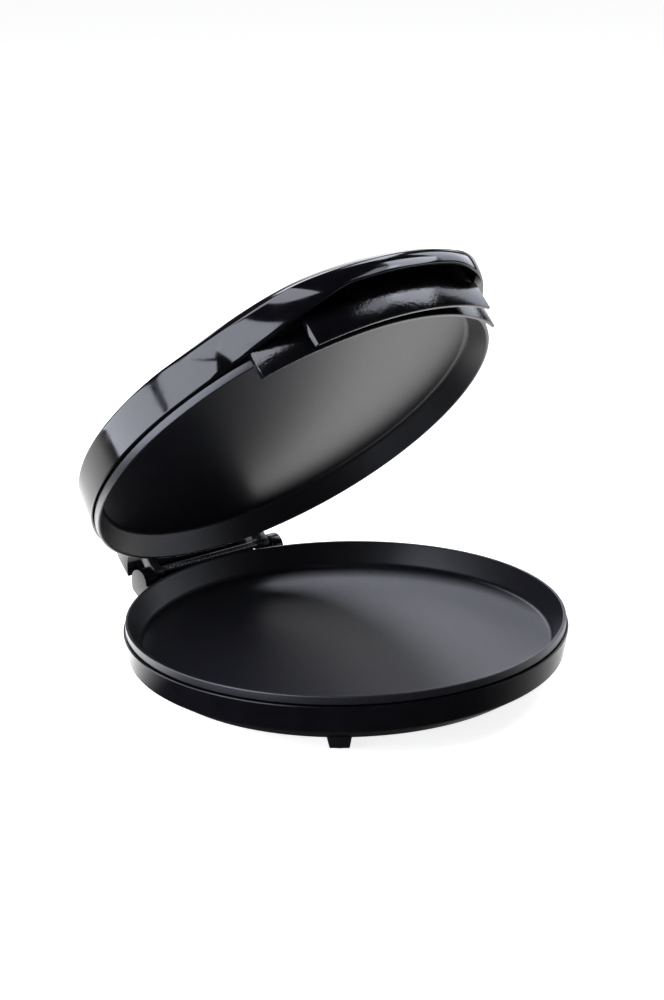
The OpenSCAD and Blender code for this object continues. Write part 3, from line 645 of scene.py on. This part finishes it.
def buildBracket():
    # all of it is cut to sit on the casing's back
    pieces = []
    for side in (-1, 1):
        x0, x1 = sorted((side * ears["inside"], side * ears["outside"]))
        ear = slab("ear" if pieces else "hingeBracket", earOutline(), x0, x1)
        softEdges(ear, 0.9, 4, 40)
        # the left bore is blind and the right one goes through
        end = ears["outside"] + (1 if side > 0 else -ears["blindEnd"])
        bore0, bore1 = sorted((side * (ears["inside"] - 1), side * end))
        r = ears["bore"]
        cut(ear, turnedBar("bore", [(bore0, 0), (bore1, 0), (bore1, r), (bore0, r)], 32))
        pieces.append(ear)
    root = ears["rootY"]
    reach = ears["inside"] + 0.5
    ledge = slab("ledge", [(root, lipZ - 19), (pinY - 6, lipZ - 17), (pinY + 0.2, lipZ - 9.6),
                           (pinY + 0.7, lipZ - 8.8), (pinY + 0.7, lipZ), (root, lipZ)],
                 -reach, reach)
    softEdges(ledge, 0.6, 3, 40)
    for side in (-1, 1):
        x0, x1 = sorted((side * ears["armRoom"], side * ears["inside"]))
        r = ears["armRadius"]
        cut(ledge, turnedBar("pocket", [(x0, 0), (x1, 0), (x1, r), (x0, r)], 64))
    pieces.append(ledge)
    pieces.append(slab("ledgeLip", [
        (pinY + 0.5, lipZ - 8.5), (pinY + 5, lipZ - 6), (pinY + 5, lipZ + 3.6),
        (pinY + 4.7, lipZ + 4), (pinY + 3.7, lipZ + 4), (pinY + 3.4, lipZ + 3.6),
        (pinY + 3.4, lipZ - 0.4), (pinY + 0.5, lipZ - 0.4)], -ears["lipHalf"], ears["lipHalf"]))
    for piece in pieces:
        cut(piece, spinSolid("core", [(0, 10), (lipR - 0.4, 10), (lipR - 0.4, lipZ + 0.5),
                                      (0, lipZ + 0.5)], 240))
    settle(joinInto(*pieces), "base", "casingBlack", "casing_plastic", "hinge_bracket", angle=30)


buildCasing()
buildBracket()


# Lid shell with its handle and hinge block

lid = {"gap": 1.8, "edge": 8, "shoulder": 39, "crown": 10.4, "lean": 2.4, "round": 9.7,
       "brim": 4, "brimFront": 11, "roof": 9, "shell": 2.5, "skin": 0.06, "columns": 360,
       "bandFade": (32, 64), "hollowFade": (14, 27)}

# reach past the wall, half angle at full reach and angle where it has faded out
lip = {"reach": 31.7, "half": 15.7, "end": 46, "lift": 5.4, "liftFade": (12.5, 24.3)}
brim = {"reach": 28.4, "half": 20.6, "end": 58.5}
# sloping band along the brow's edge, how far the handle's face bows out, the top's low swell
facet = {"wide": 12.9, "tilt": 44.2, "crest": 1.5, "faceTilt": 76, "soft": 2.0}
face = {"bow": 1.5, "fade": (20, 45)}
swell = {"high": 1.4, "fade": (14, 36), "start": 80, "run": 60}

lidR = plateR + lid["gap"]
edgeZ = rimZ + lid["edge"]
topZ = rimZ + lid["shoulder"]
roofZ = topZ - lid["roof"]
domeR = lidR - lid["lean"] - lid["round"]
crownRing = 60  # radius where the crown's grid ends


def ease(t):
    t = max(0.0, min(1.0, t))
    return t * t * (3 - 2 * t)


def fade(a, near, far):
    return 1 - ease((abs(a) - near) / (far - near))


def mix(a, b, t):
    return a + (b - a) * t


def reachAt(part, a):
    return part["reach"] * fade(a, part["half"], part["end"])


def front(a):
    return fade(a, *lid["bandFade"])


def brimHeight(a):
    return topZ - mix(lid["brim"], lid["brimFront"], front(a))


def lidWall(z):
    return lidR - lid["lean"] * (z - edgeZ) / (lid["shoulder"] - lid["edge"] - lid["round"])


def lipHeight(a):
    return edgeZ + lip["lift"] * fade(a, *lip["liftFade"])


def sideR(a, z):
    low = lipHeight(a)
    t = (z - low) / (brimHeight(a) - low)
    bulge = face["bow"] * fade(a, *face["fade"]) * 4 * t * (1 - t)
    return lidWall(z) + mix(reachAt(lip, a), reachAt(brim, a), t) + bulge


def topHeight(x, y):
    r = math.hypot(x, y)
    a = math.degrees(math.atan2(x, -y))
    rise = swell["high"] * fade(a, *swell["fade"]) * ease((r - swell["start"]) / swell["run"])
    return topZ + lid["crown"] * (1 - (r / domeR) ** 2) + rise - lid["skin"]


def topAt(a, r, drop=0.0):
    t = math.radians(a)
    return (r, topHeight(r * math.sin(t), -r * math.cos(t)) - drop)


def shoulder(a):
    # from the top out to the face: a plain rounding at the sides, a sloping band in front
    z = brimHeight(a)
    r = sideR(a, z)
    inner = r - lid["round"]
    high = topAt(a, inner)[1]
    plain = []
    for i in range(11):
        t = math.radians(9 * i)
        plain.append((inner + lid["round"] * math.sin(t), mix(z, high, math.cos(t))))
    tilt, last = math.radians(facet["tilt"]), math.radians(facet["faceTilt"])
    middle = r - facet["crest"] * math.sin(last)
    crest = []
    for i in range(6):
        t = mix(tilt, last, i / 5)
        crest.append((middle + facet["crest"] * math.sin(t),
                      z + facet["crest"] * (math.cos(t) - math.cos(last))))
    corner = topAt(a, crest[0][0] - facet["wide"] * math.cos(tilt))
    before = topAt(a, corner[0] - facet["soft"])
    share = facet["soft"] / facet["wide"]
    after = (mix(corner[0], crest[0][0], share), mix(corner[1], crest[0][1], share))
    band = []
    for t in (0, 0.25, 0.5, 0.75, 1):
        band.append(tuple(before[k] * (1 - t) ** 2 + 2 * corner[k] * t * (1 - t)
                          + after[k] * t * t for k in (0, 1)))
    return [(mix(p[0], q[0], front(a)), mix(p[1], q[1], front(a)))
            for p, q in zip(plain, band + crest)]


def between(start, end, steps):
    return [(mix(start[0], end[0], i / steps), mix(start[1], end[1], i / steps))
            for i in range(1, steps + 1)]


def shellOutline(a):
    brimZ = brimHeight(a)
    low = lipHeight(a)
    lowR = sideR(a, low)
    hollow = fade(a, *lid["hollowFade"])
    bend = shoulder(a)
    steps = 22
    made = [topAt(a, mix(crownRing, bend[0][0], i / steps)) for i in range(1, steps)] + bend
    made += [(sideR(a, z), z) for z in
             [mix(brimZ, low + 0.9, i / 14) for i in range(1, 15)]]
    # round the lower edge, up into the handle's hollow and down again to the plate's seat
    made += [(lowR - 0.06, low + 0.5), (lowR - 0.2, low + 0.2), (lowR - 0.45, low + 0.05),
             (lowR - 0.8, low)]
    underLip = mix(1.4, lid["shell"], hollow)
    wallTop = sideR(a, brimZ) - 6
    inWall = lidWall(roofZ)
    made += [(lowR - underLip, low), (lowR - underLip - 0.2, mix(low, low + 0.5, hollow))]
    start = made[-1]
    # away from the handle there is only a flat ring here, whose steps all go inwards
    outerStep, innerStep = (1.7, 1.9) if lowR < lidR + 1 else (2.2, 1.6)
    end = (mix(lowR - outerStep, wallTop, hollow), mix(low, roofZ, hollow))
    made += between(start, end, 4)
    start = end
    end = (mix(lidR - innerStep, inWall, hollow), mix(edgeZ, roofZ, hollow))
    made += between(start, end, 3)
    made += [(mix(lidR - 2, lidR, hollow), edgeZ), (lidR - lid["shell"], edgeZ)]
    ledgeZ = shieldTop + 0.05
    ledgeR = lidWall(ledgeZ) - lid["shell"]
    made += [(ledgeR, ledgeZ), (ledgeR - 2.5, ledgeZ), (domeR + 2, topZ - 4)]
    underR = domeR - 4
    made += [topAt(a, underR * f, lid["shell"]) for f in (1, 0.8, 0.55, 0.3, 0.1)]
    return made


def buildShell():
    clearPick()
    bpy.ops.mesh.primitive_circle_add(vertices=lid["columns"], radius=crownRing * mm,
                                      fill_type="NOTHING")
    obj = bpy.context.object
    obj.name = "lidShell"
    bpy.ops.object.mode_set(mode="EDIT")
    pickAll()
    bpy.ops.mesh.fill_grid(span=lid["columns"] // 4)
    mesh = bmesh.from_edit_mesh(obj.data)
    for v in mesh.verts:
        v.co.z = topHeight(v.co.x / mm, v.co.y / mm) * mm
    for patch in mesh.faces:
        patch.select = False
    mesh.select_flush(False)
    for e in mesh.edges:
        e.select = e.is_boundary
    mesh.select_flush(True)
    bmesh.update_edit_mesh(obj.data)
    outlines = {}
    for ring in range(len(shellOutline(0))):
        bpy.ops.mesh.extrude_region_move(TRANSFORM_OT_translate={"value": (0, 0, 0)})
        mesh = bmesh.from_edit_mesh(obj.data)
        for v in mesh.verts:
            if v.select:
                turn = math.atan2(v.co.x, -v.co.y)
                key = round(math.degrees(turn), 3)
                if key not in outlines:
                    outlines[key] = shellOutline(key)
                r, z = outlines[key][ring]
                v.co = Vector((r * math.sin(turn), -r * math.cos(turn), z)) * mm
        bmesh.update_edit_mesh(obj.data)
    bpy.ops.mesh.merge(type="CENTER")
    recalc()
    done()
    return obj


hingeBlock = {"back": 20.7, "drop": 5, "hollow": 22.5, "half": 62, "corner": 8, "armMid": 52,
              "armWide": 8, "armFront": 5.5, "armBack": 3, "armPlay": 0.25, "screwDrop": 7.5,
              "screwRecess": 4}
blockTop = topZ - hingeBlock["drop"]
armScrewZ = blockTop - hingeBlock["screwDrop"]


def buildBlock():
    back = pinY + hingeBlock["back"]
    corner = hingeBlock["corner"]
    low = edgeZ + 1
    hollow = hingeBlock["hollow"]
    rise = math.degrees(math.asin((low - pinZ) / hollow))
    outline = [(140, blockTop)]
    outline += roundOff((back - corner, blockTop - corner), corner, 90, 0, 10)
    outline += [(back, low)]
    outline += roundOff((pinY, pinZ), hollow, rise, 180 - rise, 36)
    outline += [(140, low)]
    obj = slab("hingeBlock", outline, -hingeBlock["half"], hingeBlock["half"])
    softEdges(obj, 1.0, 3, 50)
    inside = spinSolid("inside", [(0, edgeZ - 5), (lidWall(edgeZ - 5) - 1.2, edgeZ - 5),
                                  (lidWall(blockTop + 5) - 1.2, blockTop + 5),
                                  (0, blockTop + 5)], 180)
    cut(obj, inside)
    for side in (-1, 1):
        middle = side * hingeBlock["armMid"]
        half = hingeBlock["armWide"] / 2 + 0.15
        play = hingeBlock["armPlay"]
        cut(obj, block("slot",
                       (middle - half, pinY - hingeBlock["armFront"] - play, pinZ + 14),
                       (middle + half, pinY + hingeBlock["armBack"] + play, blockTop - 2.4)))
        recess = post("recess", 0, 0, 0, 10, hingeBlock["screwRecess"], 40, (0, 1, 0))
        recess.data.transform(Matrix.Translation((middle * mm, (back - 3) * mm, armScrewZ * mm)))
        cut(obj, recess)
    return obj


# signal lamps, measured from the handle's side of the lid
lamps = {"apart": 13, "bezelInset": 23, "lensInset": 22.8, "radius": 4, "flange": 5.5,
         "proud": 0.7, "holder": 5.6}
bezelY = lamps["bezelInset"] - lidR
lensY = lamps["lensInset"] - lidR


def buildLid():
    obj = buildShell()
    joinInto(obj, buildBlock())
    bezels = []
    for side in (-1, 1):
        x = side * lamps["apart"]
        r = lamps["radius"]
        z = topHeight(x, bezelY)
        bezel = spinSolid("bezel", [(r + 0.05, z - 1), (r + 1.4, z - 1), (r + 1.3, z + 0.15),
                                    (r + 0.9, z + 0.4), (r + 0.4, z + 0.45),
                                    (r + 0.05, z + 0.3)], 48)
        bezel.data.transform(Matrix.Translation((x * mm, bezelY * mm, 0)))
        bezels.append(bezel)
    joinInto(obj, *bezels)
    settle(obj, "lid", "pianoBlack", "lid_gloss", "lid_shell", angle=32)


buildLid()


# Skirts of the handle

skirts = {"thick": 2.5, "upperHalf": 13.5, "postRadius": 4.2,
          "outer": {"r": 178, "half": 26.1, "drop": 13.7, "turn": 5},
          "inner": {"r": 164.5, "half": 39.6, "drop": 11.6, "turn": 10.4}}


def skirtOutline(r, low, high, inset):
    out = r + skirts["thick"]
    return [(r + inset, low + 0.5), (r + 0.15, low + 0.15), (r + 0.5, low), (out - 0.5, low),
            (out - 0.15, low + 0.15), (out - inset, low + 0.5), (out - inset, high),
            (r + inset, high)]


def slantEnds(obj, size):
    # each cut end is turned to face outwards
    for v in obj.data.vertices:
        a = math.atan2(v.co.x, -v.co.y)
        if abs(a) > math.radians(size["half"] - 0.2):
            r = math.hypot(v.co.x, v.co.y)
            a -= math.copysign((r / mm - size["r"]) / size["r"], a)
            v.co.x, v.co.y = r * math.sin(a), -r * math.cos(a)


def buildSkirt(name, size, postR, node):
    low = rimZ - size["drop"]
    obj = spinArc(name, skirtOutline(size["r"], low, edgeZ - 0.3, 0), size["half"], 48)
    slantEnds(obj, size)
    softEdges(obj, 0.35, 2, 60)
    upper = spinArc("upperWall", skirtOutline(size["r"], edgeZ - 5, roofZ - 2, 0.2),
                    skirts["upperHalf"], 36)
    posts = []
    for side in (-1, 1):
        turn = math.radians(side * size["turn"])
        made = post("post", postR * math.sin(turn), -postR * math.cos(turn), edgeZ + 2, roofZ,
                    skirts["postRadius"], 40)
        posts.append(made)
    joinInto(obj, upper, *posts)
    settle(obj, "lid", "skirtBlack", "skirt_plastic", node, angle=35)


buildSkirt("outerSkirt", skirts["outer"], skirts["outer"]["r"] - 3.5, "outer_skirt")
buildSkirt("innerSkirt", skirts["inner"], skirts["inner"]["r"] + 6.0, "inner_skirt")


# Hinge

hingeSet = {"eye": 6.5, "bore": 1.8, "springR": 2.7, "wire": 0.9, "wireGap": 0.02,
            "coilGap": 1.03, "sleeveR": 2.5, "split": 2, "end": 47, "pinR": 1.75, "pinEnd": 65.5,
            "washer": 4.5}


def buildArm(name, side, node):
    r = hingeSet["eye"]
    front, back = hingeBlock["armFront"], hingeBlock["armBack"]
    top = blockTop - 2.5
    frontAngle = 180 - math.degrees(math.acos(front / r))
    backAngle = math.degrees(math.acos(back / r))
    outline = [(pinY - front, top)]
    outline += roundOff((pinY, pinZ), r, frontAngle, 360 + backAngle, 40)
    outline += [(pinY + back, top)]
    middle, half = side * hingeBlock["armMid"], hingeBlock["armWide"] / 2
    x0, x1 = middle - half, middle + half
    obj = slab(name, outline, x0, x1)
    softEdges(obj, 0.7, 3, 40)
    bore = hingeSet["bore"]
    cut(obj, turnedBar("bore", [(x0 - 1, 0), (x1 + 1, 0), (x1 + 1, bore), (x0 - 1, bore)], 32))
    settle(obj, "lid", "armBlack", "arm_plastic", node)


def buildSpring():
    # a close-wound coil: one wire section swept along the pin by a screw
    wire = hingeSet["wire"]
    start, end = -hingeSet["end"] + 0.2, hingeSet["split"] - 0.2
    turns = int((end - start - wire) / (wire * hingeSet["coilGap"]))
    pitch = (end - start - wire) / turns
    middle = hingeSet["springR"] - wire / 2
    clearPick()
    bpy.ops.mesh.primitive_circle_add(vertices=8, radius=wire / 2 * mm)
    obj = bpy.context.object
    obj.name = "hingeSpring"
    r = wire / 2 * (1 - hingeSet["wireGap"])
    for v in obj.data.vertices:
        angle = math.tau * v.index / 8
        v.co = Vector((r * math.cos(angle), 0, middle + r * math.sin(angle))) * mm
    runModifier(obj, "SCREW", axis="X", angle=math.tau, screw_offset=pitch * mm,
                iterations=turns, steps=24, render_steps=24, use_merge_vertices=False,
                use_smooth_shade=True)
    obj.data.transform(Matrix.Translation(((start + wire / 2) * mm, pinY * mm, pinZ * mm)))
    edit(obj)
    bpy.ops.mesh.select_all(action="DESELECT")
    bpy.ops.mesh.select_non_manifold()
    bpy.ops.mesh.edge_face_add()
    recalc(0.0005)
    done()
    legs = []
    for x in (start + 1.0, end - 1.0):
        leg = post("leg", x, pinY - middle, lipZ + 0.1, pinZ, wire / 2, 12)
        softEdges(leg, 0.1, 1, 60)
        legs.append(leg)
    joinInto(obj, *legs)
    settle(obj, "base", "blackSteel", "spring_steel", "hinge_spring", angle=50)


def buildHinge():
    buildArm("hingeArmLeft", -1, "hinge_arm_left")
    buildArm("hingeArmRight", 1, "hinge_arm_right")
    buildSpring()
    split, end, bore = hingeSet["split"], hingeSet["end"], hingeSet["bore"]
    r = hingeSet["sleeveR"]
    sleeve = turnedBar("hingeSleeve", [
        (split + 0.2, bore), (split + 0.2, r - 0.3), (split + 0.5, r), (end - 3.1, r),
        (end - 3.1, r + 0.3), (end - 2.9, r + 0.48), (end - 0.4, r + 0.48), (end - 0.2, r + 0.3),
        (end - 0.2, bore)])
    settle(sleeve, "base", "blackSteel", "pin_steel", "hinge_sleeve")
    rings = []
    r = hingeSet["washer"]
    for x in (-end - 1, end):
        rings.append(turnedBar("ring", [(x + 0.1, bore), (x + 0.1, r - 0.15), (x + 0.25, r),
                                        (x + 0.75, r), (x + 0.9, r - 0.15), (x + 0.9, bore)]))
    rings[0].name = "hingeWashers"
    settle(joinInto(*rings), "base", "blackSteel", "pin_steel", "hinge_washers")
    r, end = hingeSet["pinR"], hingeSet["pinEnd"]
    pin = turnedBar("hingePin", [(-end, 0), (-end, r - 0.35), (0.35 - end, r), (end - 0.4, r),
                                 (end - 0.1, r - 0.3), (end, 0)], 32)
    settle(pin, "base", "screwSteel", "pin_steel", "hinge_pin")


buildHinge()


# Feet

foot = {"high": 12, "top": 18, "bottom": 13.6, "corner": 2.5, "out": 0.8, "soleRound": 1.2,
        "pad": 5, "padHigh": 3, "head": 4.2, "headHigh": 7, "shank": 2.2}


def buildFoot(name, x, y, node):
    clearPick()
    bpy.ops.mesh.primitive_cube_add(size=1)
    obj = bpy.context.object
    obj.name = name
    turn = math.atan2(y, x)
    for v in obj.data.vertices:
        high = v.co.z > 0
        half = (foot["top"] if high else foot["bottom"]) / 2
        v.co = Vector((math.copysign(half, v.co.x), math.copysign(half, v.co.y),
                       foot["high"] if high else foot["out"])) * mm
    edit(obj)
    mesh = bmesh.from_edit_mesh(obj.data)
    for e in mesh.edges:
        e.select = abs(e.verts[0].co.z - e.verts[1].co.z) > mm
    bmesh.update_edit_mesh(obj.data)
    bpy.ops.mesh.bevel(offset=foot["corner"] * mm, segments=6, affect="EDGES")
    mesh = bmesh.from_edit_mesh(obj.data)
    for e in mesh.edges:
        e.select = all(v.co.z < 1.2 * foot["out"] * mm for v in e.verts)
    bmesh.update_edit_mesh(obj.data)
    bpy.ops.mesh.bevel(offset=foot["soleRound"] * mm, segments=4, affect="EDGES")
    recalc()
    done()
    obj.data.transform(Matrix.Translation((x * mm, y * mm, 0)) @ Matrix.Rotation(turn, 4, "Z"))
    cut(obj, post("padSeat", x, y, -1, foot["padHigh"], foot["pad"] + 0.05, 48),
        post("headSeat", x, y, 0, foot["headHigh"], foot["head"], 40),
        post("shankHole", x, y, 0, foot["high"] + 2, foot["shank"], 32))
    settle(obj, "base", "footBlack", "foot_plastic", node)


def buildPads():
    pads = []
    for x, y in footPlaces:
        pad = spinSolid("footPads" if not pads else "pad", [
            (0, 0.5), (2.0, 0.5), (2.3, 0.15), (2.6, 0), (3.2, 0), (3.5, 0.3), (3.8, 0),
            (4.5, 0), (4.85, 0.12), (5, 0.45), (5, 3), (0, 3)], 48)
        pad.data.transform(Matrix.Translation((x * mm, y * mm, 0)))
        pads.append(pad)
    settle(joinInto(*pads), "base", "padRubber", "pad_rubber", "foot_pads")


for name, node, (x, y) in zip(
        ("footFrontLeft", "footFrontRight", "footRearLeft", "footRearRight"),
        ("foot_front_left", "foot_front_right", "foot_rear_left", "foot_rear_right"),
        footPlaces):
    buildFoot(name, x, y, node)
buildPads()


# Cord bushing

bushing = {"outer": 5.95, "flange": 8.5, "bore": 3.6, "neck": 7.7, "long": 10.2, "seat": 6.46}


def buildBushing():
    outer, flange, bore = bushing["outer"], bushing["flange"], bushing["bore"]
    neck, long = bushing["neck"], bushing["long"]
    obj = spinSolid("cordBushing", [
        (bore, 0), (outer, 0), (outer, neck), (flange - 0.3, neck), (flange, neck + 0.3),
        (flange, long - 1), (flange - 0.4, long - 0.3), (flange - 1.4, long),
        (bore + 0.5, long), (bore, long - 0.4)], 64)
    obj.data.transform(cordWay.to_track_quat("Z", "Y").to_matrix().to_4x4())
    moveToCord(obj, lipR - bushing["seat"])
    settle(obj, "base", "bushingRubber", "bushing_rubber", "cord_bushing")


buildBushing()


# Signal lamps

def buildLens(name, side, finish, slotName, node):
    x, r, flange = side * lamps["apart"], lamps["radius"], lamps["flange"]
    low = shieldTop + lamps["holder"]
    top = topHeight(x, lensY) + lamps["proud"]
    obj = spinSolid(name, [(0, low), (flange, low), (flange, low + 1), (r, low + 1),
                           (r, top - 0.75), (r - 0.2, top - 0.45), (r - 0.8, top - 0.2),
                           (r - 1.8, top - 0.05), (0, top)], 48)
    obj.data.transform(Matrix.Translation((x * mm, lensY * mm, 0)))
    settle(obj, "lid", finish, slotName, node)


buildLens("powerLens", -1, "redLens", "red_lens", "power_lens")
buildLens("readyLens", 1, "greenLens", "green_lens", "ready_lens")


# Inner pieces keep their solids

innerFinish = {
    "lower_element": "sheath", "upper_element": "sheath", "lower_clamps": "pressedSteel",
    "upper_clamps": "pressedSteel", "lower_shield": "rolledAluminium",
    "upper_shield": "rolledAluminium", "thermostat": "creamMoulding",
    "thermal_fuse": "creamMoulding", "terminal_block": "creamMoulding",
    "lamp_holder": "creamMoulding", "base_wiring": "leadRed", "lid_wiring": "leadRed",
    "foot_screws": "screwSteel", "plate_screws": "screwSteel", "arm_screws": "screwSteel",
    "skirt_screws": "screwSteel",
}
for name, finish in innerFinish.items():
    nodes[name].data.materials.clear()
    nodes[name].data.materials.append(finishes[finish])
print("inner pieces dressed:", len(innerFinish))

clearPick()
